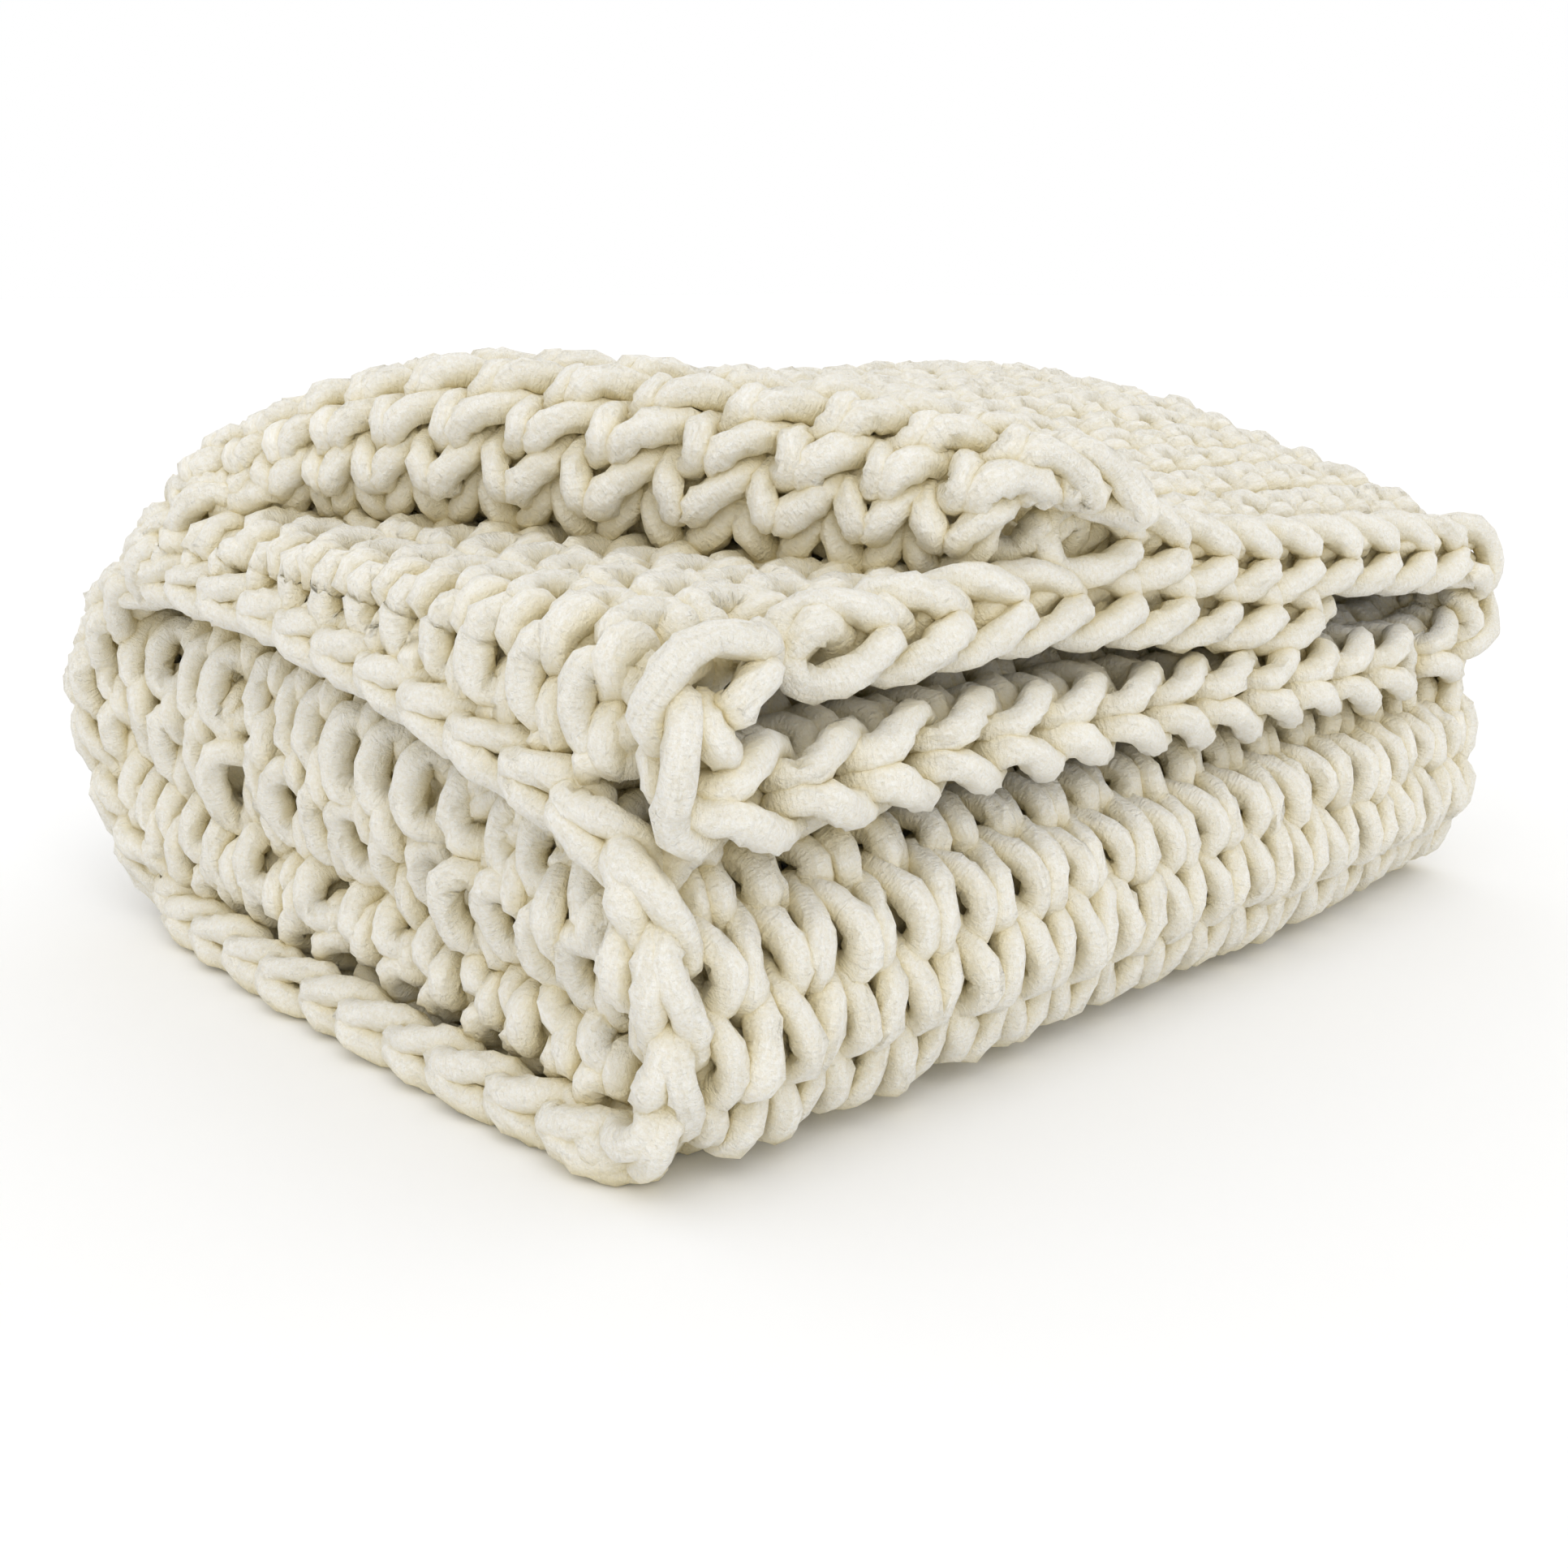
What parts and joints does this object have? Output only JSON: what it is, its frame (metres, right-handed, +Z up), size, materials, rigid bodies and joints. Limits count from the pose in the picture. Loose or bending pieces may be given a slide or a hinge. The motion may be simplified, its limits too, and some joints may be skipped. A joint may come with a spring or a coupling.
{
  "type": "folded throw blanket",
  "caption": "Chunky knitted throw folded into a rounded stack, with a letter-folded upper strip and a top flap with a rolled edge.",
  "frame": {"origin": "centre of the resting face, under the middle of the folded blanket", "axes": "+X along the long front side, +Y from the front edges to the rear fold, +Z up"},
  "size_m": [0.464, 0.4, 0.2294],
  "materials": {
    "chenille": "soft matt velvety pile"
  },
  "bodies": {
    "base": {"bottom_layer": "chenille", "inner_lower_layer": "chenille", "inner_upper_layer": "chenille", "upper_layer": "chenille", "front_turn": "chenille", "inner_front_turn": "chenille", "inner_left_turn": "chenille", "inner_right_turn": "chenille", "rear_turn_outer": "chenille", "rear_turn_middle": "chenille", "rear_turn_inner": "chenille", "left_floor_selvedge": "chenille", "left_rear_selvedge": "chenille", "left_front_selvedge": "chenille", "right_rear_selvedge": "chenille", "right_front_selvedge": "chenille"},
    "upper_strip": {"lower_flap": "chenille", "left_turn": "chenille", "middle_flap": "chenille", "right_turn": "chenille", "top_flap": "chenille", "lower_cast_on_edge": "chenille", "middle_cast_on_edge": "chenille", "top_cast_on_edge": "chenille", "yarn_tail": "chenille"},
    "top_flap_corner": {"top_corner": "chenille", "top_rolled_edge": "chenille", "corner_cast_on_edge": "chenille"}
  },
  "joints": [
    {"name": "unfold_strip", "type": "hinge", "parent": "base", "child": "upper_strip", "pos_m": [0, 0.08775, 0.2235], "axis": [-1, 0, 0], "range_deg": [0, 95]},
    {"name": "peel_corner", "type": "hinge", "parent": "upper_strip", "child": "top_flap_corner", "pos_m": [-0.219, 0.08225, 0.22271], "axis": [-0.7466, 0.6596, 0.0864], "range_deg": [0, 100]}
  ]
}
